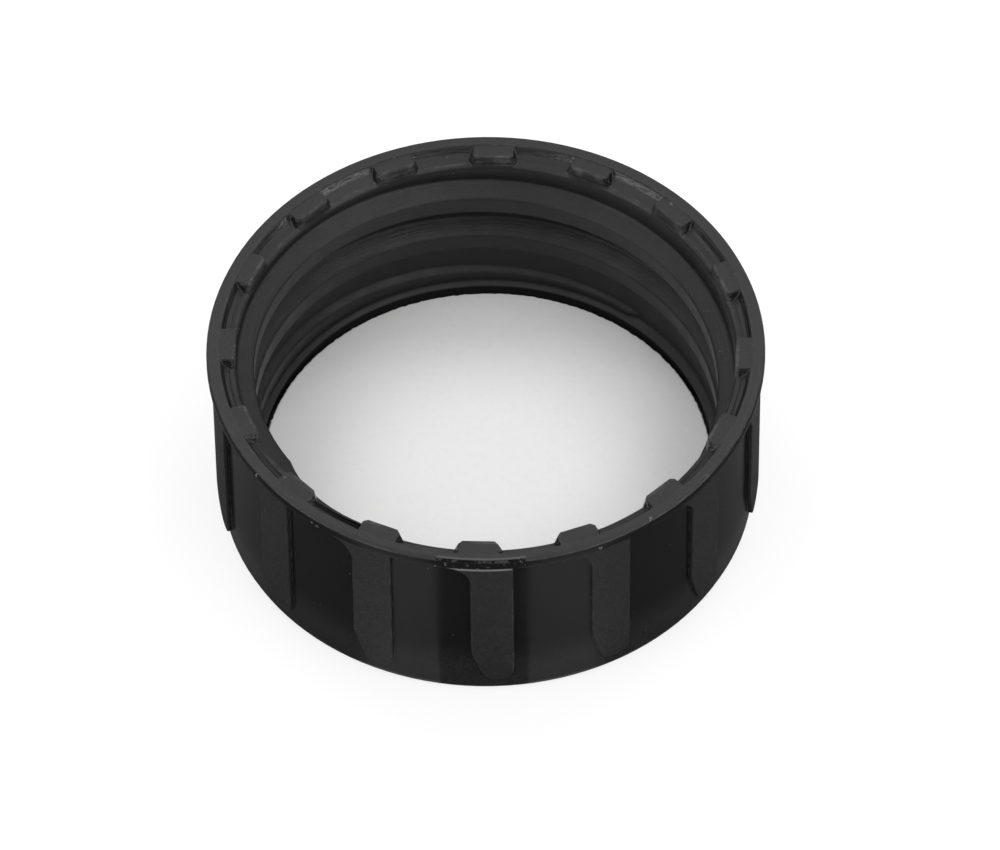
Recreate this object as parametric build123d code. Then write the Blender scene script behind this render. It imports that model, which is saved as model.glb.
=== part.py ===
from build123d import *

import os
from math import cos, radians, sin, tan
from typing import NamedTuple

# Septum screw cap: a moulded cap shell and the loose septum disc that lies in it.
#
# The cap stands on its closed end with its mouth up. The origin is the centre of the
# closed end's outer face, and +Z points out of the mouth. All lengths are in
# millimetres and all angles in degrees.

# --- Driving dimensions -------------------------------------------------------

# Overall
cap_radius = 15.5            # outside of the band at the mouth
cap_height = 11.8            # closed end to mouth

# End wall and its window
end_wall = 0.9               # thickness of the closed end
window_ledge = 4.0           # how far the end wall reaches in under the septum
window_edge = 0.25           # how far the window's outer edge is eased

# Septum disc
septum_thickness = 0.8
septum_inset = 0.06          # its edge lies this far inside the bead's edge
septum_slack = 0.35          # radial gap between the disc and the pocket around it

# Skirt, outside
band_proud = 0.4             # how far the mouth band stands off the skirt
skirt_draft = 0.9            # slope by which the skirt narrows towards the closed end
shoulder_height = 2.6        # the skirt curves in below this height
shoulder_inset = 0.2         # how far that curve comes in
shoulder_curve = 14.0        # its radius
base_corner = 0.45           # easing where the skirt meets the closed end

# Mouth band, recess and lip
band_height = 0.72           # outer face of the band at the mouth
band_bevel = 0.2             # height of the sloped underside of the band
band_edge = 0.3              # easing of the band's outer top edge
rim_width = 0.7              # flat rim, from the band's face to the recess
recess_depth = 0.4           # depth of the recess's outer wall
recess_draft = 33.0          # slope of that wall, from upright
recess_fall = 30.0           # slope of its floor down to the bore, from level
lip_edge = 0.22              # easing of the step from the recess down into the bore

# Bore, thread and bead
bore_wall = 1.68             # from the band's face to the thread root
throat_depth = 6.0           # the bore closes in below this depth
throat_draft = 13.0          # slope by which it closes in, from upright
thread_pitch = 3.175         # eight threads to the inch
thread_depth = 0.95
thread_crest = 1.1           # width of the flat crest
thread_flank = 30.0          # slope of both flanks, from level
thread_start_depth = 1.64    # below the mouth, where the thread begins
thread_start_angle = 240.0
thread_turns = 2.6
thread_fade = 36.0           # angle over which each end of the thread runs out
bead_proud = 0.31            # how far the bead above the septum stands in from the thread
bead_gap = 0.5               # from the septum's upper face to the bead's edge
bead_slope = 28.0            # slope of the bead's upper face, from level
bead_undercut = 50.0         # slope of the bead's lower face, from level

# Lugs at the mouth
lug_count = 16
lug_step = 0.04              # a lug's inner face lies this far outside the bore
lug_width = 2.2              # across the top
lug_draft = 23.0             # slope of both sides, from upright
lug_corner = 0.2             # bevel of the two inner corners
lug_drop = 0.03              # lug tops lie this far below the rim
lug_first_angle = -2.25

# Grip ribs
rib_count = 14
rib_width = 2.3
rib_proud = 0.26             # how far a rib's face stands off the skirt
rib_first_angle = 270.6
rib_foot = 1.25              # lower end of a rib above the closed end
rib_fillet = 1.35            # hollow curve from a rib's trailing side to the band
rib_toe_width = 0.76         # slanted lower corner on the trailing side
rib_toe_height = 2.4
rib_toe_round = 0.9
rib_heel = 0.8               # rounding of the lower corner on the leading side

embed = 0.3                  # how far a feature reaches into the wall behind it


# --- Places worked out from them ----------------------------------------------

skirt_radius = cap_radius - band_proud
rim_inner_radius = cap_radius - rim_width
bore_radius = cap_radius - bore_wall
crest_radius = bore_radius - thread_depth
bead_radius = crest_radius - bead_proud
septum_radius = bead_radius - septum_inset
pocket_radius = septum_radius + septum_slack
window_radius = septum_radius - window_ledge
lug_inner_radius = bore_radius + lug_step
band_foot = cap_height - band_height
septum_top = end_wall + septum_thickness
bead_height = septum_top + bead_gap
thread_width = thread_crest + 2 * thread_depth * tan(radians(thread_flank))
recess_width = rim_inner_radius - bore_radius - recess_depth * tan(radians(recess_draft))
lip_depth = recess_depth + recess_width * tan(radians(recess_fall))


def skirt_at(height):
    """Radius of the skirt's straight, drafted part at a height."""
    return skirt_radius - (band_foot - height) * tan(radians(skirt_draft))


class Corner(NamedTuple):
    """One corner of a turned outline: sharp, eased by two flats, or a true arc."""

    radius: float
    height: float
    easing: float = 0    # how far from the corner the flats start
    arc: float = 0       # radius of the arc

    def towards(self, other):
        """Point on the side that leads to another corner, where the easing starts."""
        here = Vector(self.radius, self.height)
        side = Vector(other.radius, other.height) - here
        return here + side.normalized() * self.easing

    def drawn(self, before, after):
        """The corner's own point, or the three points of its two flats."""
        here = Vector(self.radius, self.height)
        if not self.easing:
            return [here]
        first = self.towards(before)
        last = self.towards(after)
        return [first, (first + last) / 4 + here / 2, last]


def turned(corners):
    """Solid of revolution from its corners, in order."""
    points = []
    arcs = []
    for index, corner in enumerate(corners):
        drawn = corner.drawn(corners[index - 1], corners[(index + 1) % len(corners)])
        points += drawn
        arcs += [corner.arc] * len(drawn)
    outline = FilletPolyline(*points, radius=arcs, close=True)
    return revolve(make_face(Plane.XZ * outline), Axis.Z)


def radial(angle, height=0.0):
    """Plane square to the radius at an angle: x runs along the tangent, y is up."""
    outward = (cos(radians(angle)), sin(radians(angle)), 0)
    tangent = (-sin(radians(angle)), cos(radians(angle)), 0)
    return Plane(origin=(0, 0, height), x_dir=tangent, z_dir=outward)


# --- Cap shell ----------------------------------------------------------------

def shell_body():
    """Plain turned shell, still without thread and septum pocket."""
    shoulder_radius = skirt_at(shoulder_height)
    throat_radius, throat_height = throat_end()
    return turned([
        Corner(window_radius, 0, easing=window_edge),
        Corner(shoulder_radius - shoulder_inset, 0, easing=base_corner),
        Corner(shoulder_radius, shoulder_height, arc=shoulder_curve),
        Corner(skirt_radius, band_foot),
        Corner(cap_radius, band_foot + band_bevel),
        Corner(cap_radius, cap_height, easing=band_edge),
        Corner(rim_inner_radius, cap_height),
        Corner(bore_radius + recess_width, cap_height - recess_depth),
        Corner(bore_radius, cap_height - lip_depth, easing=lip_edge),
        Corner(bore_radius, cap_height - throat_depth),
        Corner(throat_radius, throat_height),
        Corner(bead_radius, bead_height),
        Corner(bead_radius, end_wall),
        Corner(window_radius, end_wall),
    ])


def throat_end():
    """Radius and height where the closing bore meets the bead's upper face."""
    closing = tan(radians(throat_draft))
    rising = tan(radians(bead_slope))
    drop = cap_height - throat_depth - bead_height
    width = (bore_radius - bead_radius - drop * closing) / (1 - rising * closing)
    return bead_radius + width, bead_height + width * rising


def septum_pocket():
    """Room for the septum under the bead, a little wider than the disc."""
    drop = (pocket_radius - bead_radius) * tan(radians(bead_undercut))
    return turned([
        Corner(0, end_wall),
        Corner(pocket_radius, end_wall),
        Corner(pocket_radius, bead_height - drop),
        Corner(bead_radius, bead_height),
        Corner(0, bead_height),
    ])


def thread_ridge():
    """Right-hand ridge on the bore, with both ends run out into the wall."""
    height = thread_pitch * thread_turns
    low = cap_height - thread_start_depth - height
    low_angle = thread_start_angle - 360 * thread_turns
    path = Edge.make_helix(thread_pitch, height, bore_radius)
    root = bore_radius + embed
    half_root = thread_width / 2 + embed * tan(radians(thread_flank))
    half_crest = thread_crest / 2
    outline = Polyline(
        (root, -half_root),
        (crest_radius, -half_crest),
        (crest_radius, half_crest),
        (root, half_root),
        close=True,
    )
    ridge = sweep(make_face(Plane.XZ * outline), path=path, is_frenet=True)
    ridge = ridge - fade_cutter(0, 0) - fade_cutter(360 * thread_turns, height)
    return Pos(0, 0, low) * Rot(0, 0, low_angle) * ridge


def fade_cutter(angle, height):
    """Off-centre drum that planes one end of the ridge down to nothing."""
    reach = cos(radians(thread_fade))
    shift = (thread_depth + embed / 2) / (1 - reach)
    radius = bore_radius + embed / 2 - shift
    drum = Cylinder(radius, thread_width + 2 * embed)
    return Pos(0, 0, height) * Rot(0, 0, angle) * Pos(shift, 0, 0) * drum


def lug():
    """One lug at angle 0: a trapezoid bar along the radius, its inner corners bevelled."""
    top = cap_height - lug_drop
    foot = cap_height - lip_depth - lip_edge
    half_top = lug_width / 2
    half_foot = half_top + (top - foot) * tan(radians(lug_draft))
    outline = Polyline(
        (-half_foot, foot), (half_foot, foot), (half_top, top), (-half_top, top), close=True,
    )
    face = radial(0).offset(lug_inner_radius) * make_face(outline)
    bar = extrude(face, amount=rim_inner_radius + embed - lug_inner_radius, dir=(1, 0, 0))
    inner_face = bar.faces().sort_by(Axis.X)[0]
    upright = inner_face.edges().filter_by(lambda edge: edge.length < lug_width)
    return chamfer(upright, lug_corner)


def rib_skin():
    """Turned ring that holds every rib's face, a little proud of the skirt."""
    shoulder_radius = skirt_at(shoulder_height) + rib_proud
    return turned([
        Corner(shoulder_radius - shoulder_inset, 0),
        Corner(shoulder_radius, shoulder_height, arc=shoulder_curve),
        Corner(skirt_at(cap_height) + rib_proud, cap_height),
        Corner(rim_inner_radius, cap_height),
        Corner(skirt_at(0) - shoulder_inset - embed, 0),
    ])


def rib_outline():
    """Face of one rib: straight leading side, and a curved trailing side."""
    half = rib_width / 2
    top = band_foot + band_bevel
    side = Polyline(
        (-half - rib_fillet, band_foot), (-half - rib_fillet, top), (half, top),
    )
    lower = FilletPolyline(
        (half, top),
        (half, rib_foot),
        (rib_toe_width - half, rib_foot),
        (-half, rib_foot + rib_toe_height),
        (-half, band_foot - rib_fillet),
        radius=[rib_heel, rib_heel, rib_toe_round],
    )
    hollow = CenterArc((-half - rib_fillet, band_foot - rib_fillet), rib_fillet, 0, 90)
    return make_face([side, lower, hollow])


def rib(skin):
    """One grip rib at angle 0, cut from the ring of rib faces."""
    face = radial(0).offset(cap_radius) * rib_outline()
    block = extrude(face, amount=cap_radius - rim_inner_radius + embed, dir=(-1, 0, 0))
    return skin & block


def cap_shell():
    """The whole moulding as one solid."""
    shell = shell_body() + thread_ridge() - septum_pocket()
    one_rib = rib(rib_skin())
    one_lug = lug()
    ribs = [Rot(0, 0, rib_first_angle + k * 360 / rib_count) * one_rib for k in range(rib_count)]
    lugs = [Rot(0, 0, lug_first_angle + k * 360 / lug_count) * one_lug for k in range(lug_count)]
    return shell + ribs + lugs


# --- Septum -------------------------------------------------------------------

def septum():
    """White disc that lies on the end wall, under the bead."""
    return Pos(0, 0, end_wall) * extrude(Circle(septum_radius), septum_thickness)


# --- Files --------------------------------------------------------------------

def main():
    os.makedirs("parts", exist_ok=True)
    for name, solid in {"cap_shell": cap_shell(), "septum": septum()}.items():
        export_step(solid, f"parts/{name}.step")


if __name__ == "__main__":
    main()
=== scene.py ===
from math import cos, pi, radians, sin, tan

import bmesh
import bpy
from mathutils import Matrix, Vector, noise


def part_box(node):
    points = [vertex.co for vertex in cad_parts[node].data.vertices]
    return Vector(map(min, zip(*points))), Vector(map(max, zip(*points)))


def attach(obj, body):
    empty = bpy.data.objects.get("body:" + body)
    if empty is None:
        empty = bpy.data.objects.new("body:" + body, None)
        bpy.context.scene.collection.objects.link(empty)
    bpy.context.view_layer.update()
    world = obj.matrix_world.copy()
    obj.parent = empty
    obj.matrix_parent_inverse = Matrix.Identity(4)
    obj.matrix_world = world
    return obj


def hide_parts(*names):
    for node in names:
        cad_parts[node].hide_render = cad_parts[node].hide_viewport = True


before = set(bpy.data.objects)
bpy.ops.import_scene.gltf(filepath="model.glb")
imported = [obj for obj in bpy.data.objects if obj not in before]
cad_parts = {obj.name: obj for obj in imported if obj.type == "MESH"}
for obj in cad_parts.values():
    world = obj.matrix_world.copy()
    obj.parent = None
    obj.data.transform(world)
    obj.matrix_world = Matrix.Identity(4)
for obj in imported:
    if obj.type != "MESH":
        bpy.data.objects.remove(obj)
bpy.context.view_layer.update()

bl_info = {
    "name": "Septum screw cap",
    "version": (1, 0, 0),
    "blender": (4, 5, 0),
    "location": "3D View > Sidebar > Septum Cap",
    "description": "Dresses the septum screw cap and sets its studio",
    "category": "Object",
}

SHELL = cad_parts["cap_shell"]
SHELL_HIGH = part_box("cap_shell")[1]
SEPTUM_LOW, SEPTUM_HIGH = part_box("septum")
MM = 0.001

# Places on the cap shell, in millimetres
BAND_FOOT = 11.08            # underside of the mouth band
SKIRT_RADIUS = 15.1          # skirt just under the band
SKIRT_SLOPE = tan(radians(0.9))
BORE_RADIUS = 13.82
FLASH_AZIMUTH = -91.5        # middle of the painted highlight and the moulding fin, in degrees
DEGREE_LENGTH = 0.02         # length that a degree round the axis counts as in the noise

# Where each finish of the shell, and each painted highlight, sheen and shade, lies: a measure,
# where its mask is 0 and where it is 1
ZONES = {
    "upward": (("Facing Up", 0.45, 0.75),),
    "inside": (("Radius", BORE_RADIUS + 0.15, BORE_RADIUS), ("Height", 0.4, 0.8)),
    "outside": (("Proud", -0.45, -0.35), ("Height", 0.0, 0.1)),
    "rib": (("Proud", 0.02, 0.1), ("Height", BAND_FOOT, BAND_FOOT - 0.02)),
    "recess": (("Radius", 14.86, 14.80), ("Height", 11.2, 11.3), ("Height", 11.74, 11.70)),
    "lug_top": (("Radius", 14.80, 14.76), ("Height", 11.74, 11.76)),
    # Inner rounding of the mouth, painted lighter: a painted highlight
    "lip": (("Radius", 13.80, 13.88), ("Radius", 14.10, 14.02), ("Height", 11.0, 11.15)),
    # Lower skirt, painted lighter towards the base: painted sheen
    "foot": (("Height", 4.4, 1.8),),
    # Pocket wall under the bead, lifted: painted light
    "under_bead": (("Radius", 12.5, 12.6), ("Radius", 13.6, 13.5),
                   ("Height", 2.3, 2.2), ("Height", 0.9, 1.2)),
    # A painted highlight line under the front of the band, and broken patches of moulding fin on it
    "painted_highlight_and_flash": (("Off Front", 8.4, 4.5), ("Height", 10.92, 11.0), ("Height", 11.16, 11.08)),
    "torn": (("Off Front", 9.6, 9.0), ("Radius", 15.10, 15.14), ("Radius", 15.26, 15.22),
             ("Height", 11.5, 11.6)),
    "pits": (("Off Front", 9.8, 9.2), ("Radius", 15.24, 15.28), ("Height", 11.2, 11.28)),
    "flakes": (("Off Front", 10.2, 9.4), ("Height", 11.18, 11.24), ("Height", 11.72, 11.66)),
}

# Grain of the plastic: cells to the millimetre, detail and roughness
BLOTCH_GRAIN = (1.0, 4, 0.7)
FLAKE_GRAIN = (3.2, 4, 0.7)
PIT_GRAIN = (1.6, 4, 0.7)
CLOUD_GRAIN = (0.9, 4, 0.65)
SPECKLE_GRAIN = (8.5, 3, 0.7)

# Grain of the septum's sheet, in the same order
MOTTLE_GRAIN = (2.5, 4, 0.7)
FIBRE_GRAIN = (6.0, 4, 0.7)

# Larger nicks round the mouth: azimuth, height, distance from the axis and size
NICKS = (
    (188.0, 11.6, 15.5, 0.10), (214.4, 11.6, 15.45, 0.11), (230.4, 11.75, 15.45, 0.10),
    (231.2, 11.45, 15.5, 0.13), (232.4, 11.3, 15.5, 0.10), (258.9, 11.3, 15.5, 0.12),
    (261.0, 11.55, 15.5, 0.11), (276.6, 11.75, 15.45, 0.11), (293.4, 11.45, 15.5, 0.10),
    (300.6, 11.1, 15.4, 0.10), (306.0, 11.8, 15.3, 0.13), (308.0, 11.78, 15.4, 0.09),
    (322.2, 11.8, 15.3, 0.10), (44.5, 11.7, 14.7, 0.14), (219.0, 11.78, 14.4, 0.10),
)
NICK_WANDER = 0.5            # how far, in millimetres, a nick's outline wanders

SPECULAR_LEVEL = 0.34        # strength of the plastic's reflection

# Cut edge of the septum
SEPTUM_SEGMENTS = 720
EDGE_RIPPLES = 60            # noise cells in one radius
SHARP_ANGLE = radians(40)

# Stage: name, azimuth, elevation, width, height and radiance of each lamp
LAMPS = (
    ("back_left_box", 125, 52, 0.35, 0.35, 3.8),
    ("back_right_box", 55, 52, 0.35, 0.35, 3.8),
    ("right_box", -18, 57, 0.5, 0.4, 1.8),
    ("left_box", -158, 57, 0.5, 0.4, 1.5),
    ("front_box", -56, 52, 0.3, 0.3, 3.0),
    ("low_right_box", -35, 10, 0.9, 0.24, 7.0),
    ("low_left_box", -145, 10, 0.9, 0.24, 7.0),
)
LAMP_DISTANCE = 1.0
SENSOR_WIDTH = 36
CLIP_START, CLIP_END = 0.1, 10

FLOOR_GAP = 0.02 * MM        # keeps the floor clear of the base
FLOOR_HOLE = 14.2 * MM       # radius under the cap where the floor is clear
FLOOR_HOLE_EDGE = 0.1 * MM
FLOOR_LEVEL = 0.27           # level of the floor's first sector
FLOOR_TURN = 2.5             # turn of the sectors, in degrees
# Steps of the floor's painted shade level: from angle, to angle, change
FLOOR_STEPS = ((18.5, 20, 0.98), (44, 54, -0.9), (82, 92, 0.15), (112, 128, 0.3))


# --- Sizes and colours a user would change ------------------------------------

def colour(name, description, value):
    """Colour property with its name, description and default."""
    return bpy.props.FloatVectorProperty(
        name=name, description=description, subtype="COLOR", size=3, min=0, max=1, default=value,
    )


def share(name, description, value):
    """Plain number between 0 and 1."""
    return bpy.props.FloatProperty(
        name=name, description=description, subtype="FACTOR", min=0, max=1, default=value,
    )


def length(name, description, value):
    """Length property in metres."""
    return bpy.props.FloatProperty(name=name, description=description, unit="LENGTH", default=value)


class PlasticLook(bpy.types.PropertyGroup):
    """Black moulded plastic of the cap shell."""

    black: colour("Plastic", "Colour of the moulded plastic", (0.005, 0.005, 0.0052))
    # Darker colour inside the bore: painted shade
    bore_painted_shade_black: colour("Bore plastic", "Colour inside the bore", (0.001, 0.001, 0.001))
    # Satin rib faces; the same colour also paints sheen on the lower skirt and light on the upward
    # faces
    haze_and_painted_sheen: colour("Rib haze", "Colour of the satin rib faces", (0.015, 0.015, 0.0152))
    # Rubbed edges; also the painted highlight on the mouth's inner rounding and painted light under
    # the bead
    worn_and_painted_light: colour("Worn edge", "Colour of rubbed edges", (0.07, 0.07, 0.07))
    # Colour of the moulding fin, also used for the painted highlight line under the band
    painted_highlight_and_flash: colour("Flash", "Colour of the flash on the band", (0.16, 0.16, 0.16))
    dust: colour("Dust", "Colour of pale specks and nicks", (0.12, 0.12, 0.117))
    panel_gloss: share("Panel roughness", "Roughness of the panels between the ribs", 0.17)
    rib_gloss: share("Rib roughness", "Roughness of the satin rib faces", 0.42)
    rim_gloss: share("Rim roughness", "Roughness of rim, recess and lug tops", 0.36)
    recess_gloss: share("Recess roughness", "Roughness of the recess in the mouth", 0.18)
    bore_gloss: share("Bore roughness", "Roughness of bore and thread", 0.40)
    edge_radius: length("Edge rounding", "Radius that edges are rounded to in shading", 0.12 * MM)
    bore_edge_radius: length("Thread rounding", "The same radius on the thread", 0.3 * MM)


class SeptumLook(bpy.types.PropertyGroup):
    """Off-white sheet of the septum disc."""

    sheet: colour("Sheet", "Colour of the septum's faces", (0.76, 0.76, 0.758))
    shade: colour("Mottling", "Colour of the faint darker mottling", (0.735, 0.735, 0.732))
    edge_ripple: length("Edge ripple", "How far the cut edge wanders", 0.05 * MM)
    edge_round: length("Edge round", "Rounding of the cut edge", 0.12 * MM)


class StageLook(bpy.types.PropertyGroup):
    """Floor, lamps and camera."""

    camera_elevation: bpy.props.FloatProperty(
        name="Camera elevation", description="Angle of the view above the horizon",
        subtype="ANGLE", default=radians(50.04),
    )
    camera_roll: bpy.props.FloatProperty(
        name="Camera roll", description="Turn of the camera about its own axis",
        subtype="ANGLE", default=radians(-0.76),
    )
    camera_distance: length("Camera distance", "From the mouth's centre to the camera", 1.5547)
    camera_lens: bpy.props.FloatProperty(
        name="Camera lens", description="Focal length in millimetres", default=1009.8,
    )
    offset_right: length("Aim to the right", "How far right of the mouth it aims", 0.793 * MM)
    offset_down: length("Aim below", "How far below the mouth it aims", 4.268 * MM)
    floor_size: length("Floor size", "Side of the square floor", 3.0)
    floor_grey: colour("Floor", "Colour of the floor before its lift to white",
                       (0.24, 0.24, 0.24))
    floor_lift: share("Floor lift", "How far the floor is lifted to white in view", 0.74)
    sky: bpy.props.FloatProperty(name="Sky", description="Strength of the world", default=1.15)


# --- Small node helpers -------------------------------------------------------

def add(tree, kind, sockets=None, **settings):
    """New node with its settings, and its inputs set or linked."""
    made = tree.nodes.new(kind)
    for name, value in settings.items():
        setattr(made, name, value)
    for key, value in (sockets or {}).items():
        if isinstance(value, bpy.types.NodeSocket):
            tree.links.new(value, made.inputs[key])
        else:
            made.inputs[key].default_value = value
    return made


def maths(tree, operation, *values):
    """Result of one sum on sockets or numbers."""
    return add(tree, "ShaderNodeMath", dict(enumerate(values)), operation=operation).outputs[0]


def between(tree, value, low, high, start=0.0, end=1.0):
    """Smooth rise from start to end while a value goes from low to high."""
    sockets = {"Value": value, "From Min": low, "From Max": high, "To Min": start, "To Max": end}
    made = add(tree, "ShaderNodeMapRange", sockets, interpolation_type="SMOOTHSTEP")
    return made.outputs["Result"]


# Numbers of a Mix node's factor and two values, and of its result
MIX_SOCKETS = {"FLOAT": ((0, 2, 3), 0), "VECTOR": ((0, 4, 5), 1), "RGBA": ((0, 6, 7), 2)}


def mix(tree, kind, *values):
    """Value that goes from the first to the second with a factor, which comes before them."""
    inputs, result = MIX_SOCKETS[kind]
    return add(tree, "ShaderNodeMix", dict(zip(inputs, values)), data_type=kind).outputs[result]


def blend(tree, factor, first, second):
    """Number that goes from the first to the second with a factor."""
    return mix(tree, "FLOAT", factor, first, second)


def tint(tree, factor, first, second):
    """Colour that goes from the first to the second with a factor."""
    return mix(tree, "RGBA", factor, first, second)


def grain(tree, place, scale, detail=2.0, rough=0.5):
    """Fractal noise at a number of cells to the millimetre."""
    sockets = {"Vector": place, "Scale": scale, "Detail": detail, "Roughness": rough}
    return add(tree, "ShaderNodeTexNoise", sockets).outputs["Fac"]


def fold(tree, operation, values):
    """Result of one operation along a row of sockets or numbers."""
    result, *others = values
    for value in others:
        result = maths(tree, operation, result, value)
    return result


def product(tree, *values):
    """Product of several sockets or numbers."""
    return fold(tree, "MULTIPLY", values)


def total(tree, *values):
    """Sum of several sockets or numbers."""
    return fold(tree, "ADD", values)


def largest(tree, *values):
    """Largest of several sockets or numbers."""
    return fold(tree, "MAXIMUM", values)


def vector(tree, operation, *values):
    """Vector that comes of one operation on vectors."""
    made = add(tree, "ShaderNodeVectorMath", dict(enumerate(values)), operation=operation)
    return made.outputs[0]


def scaled(tree, place, factor):
    """Vector times a number."""
    sockets = {0: place, "Scale": factor}
    return add(tree, "ShaderNodeVectorMath", sockets, operation="SCALE").outputs[0]


def millimetres(tree):
    """Object coordinates in millimetres."""
    return scaled(tree, add(tree, "ShaderNodeTexCoord").outputs["Object"], 1 / MM)


def stretched(tree, place, scales, detail=3.0, rough=0.6):
    """Fractal noise with its own number of cells to the millimetre on each axis."""
    return grain(tree, vector(tree, "MULTIPLY", place, scales), 1.0, detail, rough)


def new_group(name, outputs):
    """Empty node group, its outputs given as name and socket type."""
    group = bpy.data.node_groups.new(name, "ShaderNodeTree")
    for label, kind in outputs.items():
        group.interface.new_socket(label, in_out="OUTPUT", socket_type=kind)
    return group


def use_group(tree, group):
    """Node that shows a group in a tree."""
    made = tree.nodes.new("ShaderNodeGroup")
    made.node_tree = group
    return made


def new_material(name):
    """Empty node material and its node tree."""
    material = bpy.data.materials.new(name)
    material.use_nodes = True
    material.node_tree.nodes.clear()
    return material, material.node_tree


# --- Materials ----------------------------------------------------------------

def cap_places():
    """Group that says where on the cap a point lies, in millimetres and degrees."""
    kinds = {"Place": "NodeSocketVector", "Around": "NodeSocketVector"}
    kinds.update(dict.fromkeys(("Radius", "Height", "Angle", "Proud", "Facing Up"),
                               "NodeSocketFloat"))
    group = new_group("cap_places", kinds)
    place = millimetres(group)
    split = add(group, "ShaderNodeSeparateXYZ", {0: place})
    x, y, height = split.outputs
    radius = maths(group, "SQRT", maths(group, "ADD", maths(group, "MULTIPLY", x, x),
                                        maths(group, "MULTIPLY", y, y)))
    angle = maths(group, "DEGREES", maths(group, "ARCTAN2", y, x))
    below = maths(group, "SUBTRACT", BAND_FOOT, height)
    skirt = maths(group, "SUBTRACT", SKIRT_RADIUS, maths(group, "MULTIPLY", below, SKIRT_SLOPE))
    around = add(group, "ShaderNodeCombineXYZ",
                 {0: radius, 1: maths(group, "MULTIPLY", angle, DEGREE_LENGTH), 2: height})
    normal = add(group, "ShaderNodeSeparateXYZ",
                 {0: add(group, "ShaderNodeNewGeometry").outputs["Normal"]})
    end = add(group, "NodeGroupOutput")
    made = {"Place": place, "Around": around.outputs[0], "Radius": radius, "Height": height,
            "Angle": angle, "Proud": maths(group, "SUBTRACT", radius, skirt),
            "Facing Up": normal.outputs[2]}
    for label, socket in made.items():
        group.links.new(socket, end.inputs[label])
    return group


def nicks(tree, place):
    """Mask of the larger nicks, each with a ragged outline."""
    cloud = add(tree, "ShaderNodeTexNoise", {"Vector": place, "Scale": 6.0, "Detail": 4.0})
    shift = vector(tree, "SUBTRACT", cloud.outputs["Color"], (0.5, 0.5, 0.5))
    warped = vector(tree, "MULTIPLY_ADD", shift, (NICK_WANDER,) * 3, place)
    mask = 0.0
    for azimuth, height, radius, size in NICKS:
        middle = (radius * cos(radians(azimuth)), radius * sin(radians(azimuth)), height)
        far = add(tree, "ShaderNodeVectorMath", {0: warped, 1: middle},
                  operation="DISTANCE").outputs["Value"]
        mask = maths(tree, "MAXIMUM", mask, between(tree, far, size, size * 0.3))
    return mask


def zone_masks(tree, cap):
    """Mask of each part of the shell in ZONES."""
    measures = dict(cap.items())
    measures["Off Front"] = maths(tree, "ABSOLUTE",
                                  maths(tree, "SUBTRACT", cap["Angle"], FLASH_AZIMUTH))
    return {
        name: product(tree, *(between(tree, measures[measure], start, end)
                              for measure, start, end in edges))
        for name, edges in ZONES.items()
    }


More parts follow.
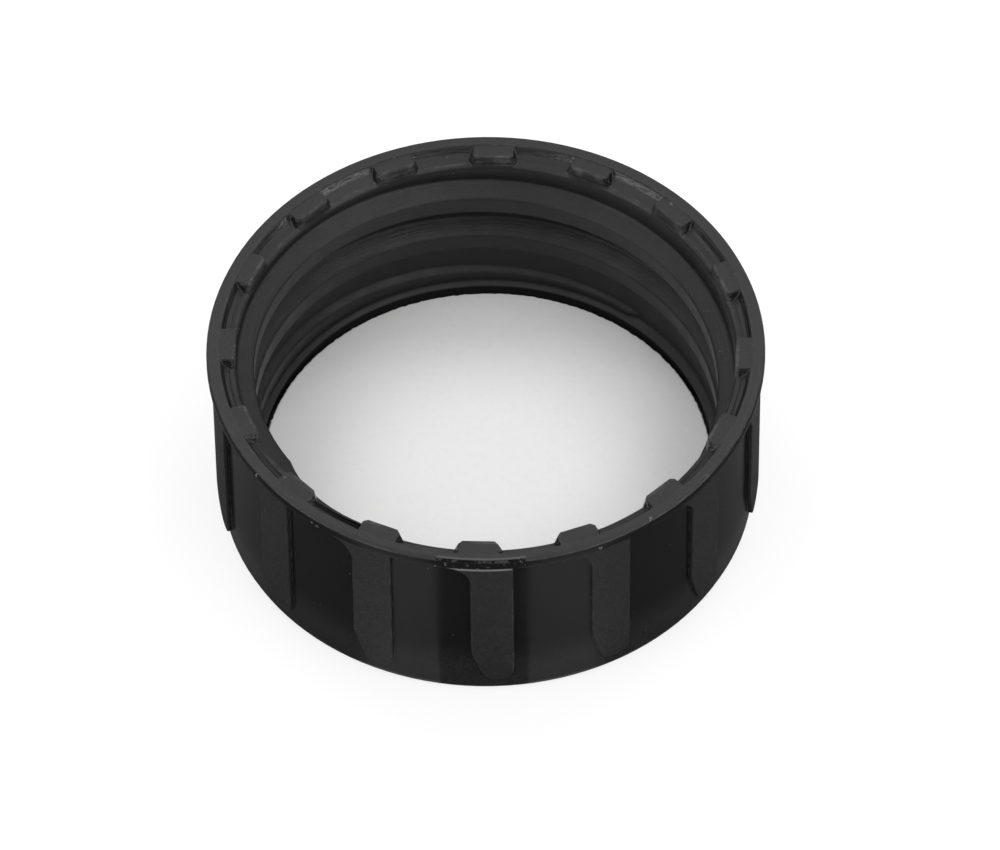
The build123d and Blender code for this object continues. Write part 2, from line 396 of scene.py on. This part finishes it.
def plastic(look):
    """Black moulded plastic: glossy panels, satin ribs, rubbed edges and dust, with painted
    highlights, painted sheen and painted shade.
    """
    material, tree = new_material("shell_plastic")
    cap = use_group(tree, cap_places()).outputs
    place, around = cap["Place"], cap["Around"]
    masks = zone_masks(tree, cap)
    upward, inside, outside = masks["upward"], masks["inside"], masks["outside"]
    rib, recess = masks["rib"], masks["recess"]

    # Rubbed edges
    bevel = blend(tree, inside, look.edge_radius, look.bore_edge_radius)
    rounded = add(tree, "ShaderNodeBevel", {"Radius": bevel}, samples=6)
    true = add(tree, "ShaderNodeNewGeometry").outputs["Normal"]
    turn = add(tree, "ShaderNodeVectorMath", {0: rounded.outputs[0], 1: true},
               operation="DOT_PRODUCT").outputs["Value"]
    edge = product(tree, between(tree, turn, 0.99, 0.92), maths(tree, "SUBTRACT", 1.0, inside))
    flake_grain = grain(tree, place, *FLAKE_GRAIN)
    patchy = largest(tree,
                     between(tree, grain(tree, place, *BLOTCH_GRAIN), 0.44, 0.66, 0.0, 0.45),
                     between(tree, flake_grain, 0.60, 0.70))
    wear = product(tree, edge, patchy)

    # Painted highlight line under the front of the band, and the torn moulding fin on it
    painted_highlight_and_flash = product(tree, masks["painted_highlight_and_flash"], outside)
    pits = product(tree, masks["pits"], between(tree, grain(tree, place, *PIT_GRAIN), 0.42, 0.52))
    flakes = product(tree, masks["flakes"], outside, between(tree, flake_grain, 0.57, 0.68))
    bright = largest(tree, painted_highlight_and_flash, product(tree, largest(tree, masks["torn"], flakes), 0.22))

    # Dust and nicks
    speck_field = add(tree, "ShaderNodeTexVoronoi", {"Vector": place, "Scale": 3.0})
    pick = add(tree, "ShaderNodeSeparateColor", {0: speck_field.outputs["Color"]})
    specks = product(tree, between(tree, pick.outputs[0], 0.90, 1.0),
                     between(tree, speck_field.outputs["Distance"], 0.12, 0.05))
    specks = largest(tree, specks, nicks(tree, place))

    # Colour
    cloud = grain(tree, place, *CLOUD_GRAIN)
    # Lower skirt lighter towards the base, with cloudy noise: painted sheen
    painted_base_sheen = product(tree, masks["foot"], outside, between(tree, cloud, 0.25, 0.75, 0.55, 1.0))
    # The bore is given a darker black than the outside: painted shade
    base = tint(tree, inside, (*look.black, 1), (*look.bore_painted_shade_black, 1))
    fine = grain(tree, place, *SPECKLE_GRAIN)
    speckle = between(tree, fine, 0.38, 0.66)
    # Satin rib faces, with painted sheen on the lower skirt and painted light on the upward faces
    satin_haze_and_painted_sheen = largest(tree, rib, painted_base_sheen, product(tree, upward, 0.1))
    base = tint(tree, product(tree, satin_haze_and_painted_sheen, blend(tree, speckle, 0.35, 1.9)), base, (*look.haze_and_painted_sheen, 1))
    # Pocket wall under the bead lifted towards the rubbed-edge colour: painted light where it lies
    # in shade
    base = tint(tree, product(tree, masks["under_bead"], 0.3), base, (*look.worn_and_painted_light, 1))
    # Rubbed edges, and a painted highlight on the mouth's inner rounding, in the rubbed-edge colour
    base = tint(tree, largest(tree, wear, product(tree, masks["lip"], patchy)), base,
                (*look.worn_and_painted_light, 1))
    # Painted highlight under the band and the torn moulding fin
    base = tint(tree, bright, base, (*look.painted_highlight_and_flash, 1))
    base = tint(tree, specks, base, (*look.dust, 1))

    # Roughness
    rough = blend(tree, outside, look.rim_gloss, look.panel_gloss)
    rough = blend(tree, rib, rough, look.rib_gloss)
    rough = blend(tree, upward, rough, look.rim_gloss)
    wall = product(tree, recess, maths(tree, "SUBTRACT", 1.0, upward))
    rough = blend(tree, wall, rough, look.recess_gloss)
    rough = blend(tree, inside, rough, look.bore_gloss)
    rough = product(tree, rough, between(tree, cloud, 0.3, 0.7, 0.88, 1.15))
    rough = blend(tree, largest(tree, wear, specks), rough, 0.6)
    rough = blend(tree, pits, rough, look.panel_gloss)

    # Grain of the satin faces, and lines that run round and down the moulding
    satin = blend(tree, rib, blend(tree, upward, 0.15, 1.2), 4.5)
    satin = blend(tree, masks["lug_top"], satin, 4.0)
    ringed = largest(tree, upward, product(tree, inside, 0.4))
    relief = total(
        tree,
        product(tree, fine, satin),
        product(tree, stretched(tree, around, (9, 1.5, 9)), ringed),
        product(tree, stretched(tree, around, (5, 7, 5)), recess, 3.2),
        product(tree, stretched(tree, around, (0, 60, 1.2)), 0.15),
    )
    upright = vector(tree, "NORMALIZE", vector(tree, "MULTIPLY", place, (1, 1, 0)))
    facing = mix(tree, "VECTOR", pits, rounded.outputs[0], upright)
    bump = add(tree, "ShaderNodeBump", {"Height": relief, "Normal": facing,
                                        "Strength": 0.5, "Distance": 0.04 * MM})
    shader = add(tree, "ShaderNodeBsdfPrincipled",
                 {"Base Color": base, "Roughness": rough, "Normal": bump.outputs[0],
                  "Specular IOR Level": SPECULAR_LEVEL})
    add(tree, "ShaderNodeOutputMaterial", {"Surface": shader.outputs[0]})
    return material


def septum_sheet(look):
    """Off-white sheet with a faint fibrous grain."""
    material, tree = new_material("septum_sheet")
    place = millimetres(tree)
    mottle = grain(tree, place, *MOTTLE_GRAIN)
    fibre = grain(tree, place, *FIBRE_GRAIN)
    base = tint(tree, between(tree, mottle, 0.45, 0.75), (*look.sheet, 1), (*look.shade, 1))
    rough = between(tree, fibre, 0.3, 0.7, 0.7, 0.9)
    bump = add(tree, "ShaderNodeBump", {"Height": fibre, "Strength": 0.3, "Distance": 0.03 * MM})
    shader = add(tree, "ShaderNodeBsdfPrincipled",
                 {"Base Color": base, "Roughness": rough, "Normal": bump.outputs[0]})
    add(tree, "ShaderNodeOutputMaterial", {"Surface": shader.outputs[0]})
    return material


# --- Operators for the pieces -------------------------------------------------

class CAP_OT_shell(bpy.types.Operator):
    """Gives the cap shell its moulded plastic"""
    bl_idname = "cap.shell"
    bl_label = "Dress cap shell"

    def execute(self, context):
        SHELL.data.materials.clear()
        SHELL.data.materials.append(plastic(context.scene.plastic_look))
        return {"FINISHED"}


class CAP_OT_septum(bpy.types.Operator):
    """Makes the septum disc with its slightly uneven cut edge"""
    bl_idname = "cap.septum"
    bl_label = "Make septum"

    def execute(self, context):
        look = context.scene.septum_look
        radius = SEPTUM_HIGH.x
        depth = SEPTUM_HIGH.z - SEPTUM_LOW.z
        shape = bmesh.new()
        bmesh.ops.create_cone(
            shape, cap_ends=True, cap_tris=False, segments=SEPTUM_SEGMENTS,
            radius1=radius, radius2=radius, depth=depth,
            matrix=Matrix.Translation((0, 0, (SEPTUM_LOW.z + SEPTUM_HIGH.z) / 2)),
        )
        rims = [edge for edge in shape.edges if abs(edge.verts[0].co.z - edge.verts[1].co.z) < 1e-6]
        bmesh.ops.bevel(shape, geom=rims, offset=look.edge_round, offset_type="OFFSET",
                        affect="EDGES", segments=3, profile=0.5, material=-1)
        for vertex in shape.verts:
            outward = Vector((vertex.co.x, vertex.co.y, 0)).normalized()
            ripple = noise.fractal(outward * EDGE_RIPPLES, 1.0, 2.0, 4)
            vertex.co += outward * look.edge_ripple * ripple
        for face in shape.faces:
            face.smooth = True
        mesh = bpy.data.meshes.new("septum_disc")
        shape.to_mesh(mesh)
        shape.free()
        piece = bpy.data.objects.new("septum_disc", mesh)
        context.scene.collection.objects.link(piece)
        mesh.set_sharp_from_angle(angle=SHARP_ANGLE)
        mesh.materials.append(septum_sheet(look))
        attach(piece, "root")
        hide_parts("septum")
        return {"FINISHED"}


# --- Stage --------------------------------------------------------------------

def add_camera(look):
    """Camera in front of the cap and above it, aimed a little off the mouth's centre."""
    elevation, roll = look.camera_elevation, look.camera_roll
    back = Vector((0, -cos(elevation), sin(elevation)))
    right = Vector((1, 0, 0))
    up = Vector((0, sin(elevation), cos(elevation)))
    across = cos(roll) * right + sin(roll) * up
    above = cos(roll) * up - sin(roll) * right
    mouth = Vector((0, 0, SHELL_HIGH.z))
    place = mouth + back * look.camera_distance
    target = mouth + across * look.offset_right - above * look.offset_down
    away = (place - target).normalized()
    across = (across - across.dot(away) * away).normalized()
    above = away.cross(across)
    camera = bpy.data.objects.new("camera", bpy.data.cameras.new("camera"))
    bpy.context.scene.collection.objects.link(camera)
    camera.matrix_world = Matrix((
        (across.x, above.x, away.x, place.x),
        (across.y, above.y, away.y, place.y),
        (across.z, above.z, away.z, place.z),
        (0, 0, 0, 1),
    ))
    camera.data.sensor_width = SENSOR_WIDTH
    camera.data.lens = look.camera_lens
    camera.data.clip_start, camera.data.clip_end = CLIP_START, CLIP_END
    bpy.context.scene.camera = camera


def add_soft_box(name, azimuth, elevation, width, height, radiance):
    """Rectangular lamp that faces the cap from a direction given in degrees."""
    light = bpy.data.lights.new(name, "AREA")
    light.shape = "RECTANGLE"
    light.size, light.size_y = width, height
    light.energy = radiance * pi * width * height
    lamp = bpy.data.objects.new(name, light)
    bpy.context.scene.collection.objects.link(lamp)
    level = cos(radians(elevation))
    lamp.location = LAMP_DISTANCE * Vector((
        level * cos(radians(azimuth)), level * sin(radians(azimuth)), sin(radians(elevation)),
    ))
    lamp.rotation_euler = (-lamp.location).to_track_quat("-Z", "Y").to_euler()


def painted_floor_shade_sectors(tree, grey):
    """Painted lighter and darker sectors of the floor, painted shade that the glossy panels mirror.
    """
    split = add(tree, "ShaderNodeSeparateXYZ",
                {0: add(tree, "ShaderNodeNewGeometry").outputs["Position"]})
    x, y, _ = split.outputs
    # The sectors meet half way out to the skirt, so that their edges are mirrored upright
    forward = maths(tree, "SUBTRACT", -0.5 * SKIRT_RADIUS * MM, y)
    angle = maths(tree, "DEGREES", maths(tree, "ARCTAN2", x, forward))
    angle = maths(tree, "ABSOLUTE", maths(tree, "ADD", angle, FLOOR_TURN))
    level = FLOOR_LEVEL
    for start, end, change in FLOOR_STEPS:
        level = maths(tree, "ADD", level, between(tree, angle, start, end, 0.0, change))
    return scaled(tree, (*grey,), level)


def add_floor(look):
    """Plain floor, white to the camera, with a soft shadow and clear from below."""
    bpy.ops.mesh.primitive_plane_add(size=look.floor_size, location=(0, 0, -FLOOR_GAP))
    floor = bpy.context.object
    floor.name = "floor"
    material, tree = new_material("floor_white")
    path = add(tree, "ShaderNodeLightPath")
    seen = largest(tree, path.outputs["Is Camera Ray"], path.outputs["Is Transmission Ray"])
    lift = maths(tree, "MULTIPLY", seen, look.floor_lift)
    glow = add(tree, "ShaderNodeEmission", {"Strength": lift})
    # Glossy rays see the floor with painted shade sectors
    grey = tint(tree, path.outputs["Is Glossy Ray"], (*look.floor_grey, 1),
                painted_floor_shade_sectors(tree, look.floor_grey))
    diffuse = add(tree, "ShaderNodeBsdfDiffuse", {"Color": grey})
    both = add(tree, "ShaderNodeAddShader", {0: diffuse.outputs[0], 1: glow.outputs[0]})
    # Clear from below, and under the cap so that light reaches its underside
    geometry = add(tree, "ShaderNodeNewGeometry")
    out = add(tree, "ShaderNodeVectorMath", {0: geometry.outputs["Position"]}, operation="LENGTH")
    hole = between(tree, out.outputs["Value"], FLOOR_HOLE + FLOOR_HOLE_EDGE, FLOOR_HOLE)
    hidden = largest(tree, geometry.outputs["Backfacing"], hole)
    clear = add(tree, "ShaderNodeBsdfTransparent")
    shown = add(tree, "ShaderNodeMixShader", {0: hidden, 1: both.outputs[0], 2: clear.outputs[0]})
    add(tree, "ShaderNodeOutputMaterial", {"Surface": shown.outputs[0]})
    floor.data.materials.append(material)


def set_world(look):
    """Even white surroundings."""
    world = bpy.context.scene.world or bpy.data.worlds.new("world")
    bpy.context.scene.world = world
    world.use_nodes = True
    world.node_tree.nodes.clear()
    back = add(world.node_tree, "ShaderNodeBackground", {"Strength": look.sky})
    add(world.node_tree, "ShaderNodeOutputWorld", {"Surface": back.outputs[0]})


class CAP_OT_stage(bpy.types.Operator):
    """Sets the floor, the lamps, the world and the camera"""
    bl_idname = "cap.stage"
    bl_label = "Set the stage"

    def execute(self, context):
        look = context.scene.stage_look
        context.scene.view_settings.view_transform = "Standard"
        add_camera(look)
        add_floor(look)
        set_world(look)
        for lamp in LAMPS:
            add_soft_box(*lamp)
        return {"FINISHED"}


# --- Panel and registration ---------------------------------------------------

class CAP_PT_panel(bpy.types.Panel):
    """Sizes and colours of the cap, and its steps"""
    bl_label = "Septum cap"
    bl_space_type = "VIEW_3D"
    bl_region_type = "UI"
    bl_category = "Septum Cap"

    def draw(self, context):
        layout = self.layout
        scene = context.scene
        for look in (scene.plastic_look, scene.septum_look, scene.stage_look):
            box = layout.box()
            for name in look.__annotations__:
                box.prop(look, name)
        for step in STEPS:
            layout.operator(step.bl_idname)


LOOKS = {"plastic_look": PlasticLook, "septum_look": SeptumLook, "stage_look": StageLook}
STEPS = (CAP_OT_shell, CAP_OT_septum, CAP_OT_stage)


def register():
    """Adds the looks, the steps and the panel to Blender."""
    for look in LOOKS.values():
        bpy.utils.register_class(look)
    for name, look in LOOKS.items():
        setattr(bpy.types.Scene, name, bpy.props.PointerProperty(type=look))
    for step in STEPS:
        bpy.utils.register_class(step)
    bpy.utils.register_class(CAP_PT_panel)


def unregister():
    """Takes out what register added."""
    bpy.utils.unregister_class(CAP_PT_panel)
    for step in reversed(STEPS):
        bpy.utils.unregister_class(step)
    for name, look in LOOKS.items():
        delattr(bpy.types.Scene, name)
        bpy.utils.unregister_class(look)


def main():
    """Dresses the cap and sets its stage."""
    register()
    bpy.ops.cap.shell()
    bpy.ops.cap.septum()
    bpy.ops.cap.stage()


if __name__ == "__main__":
    main()
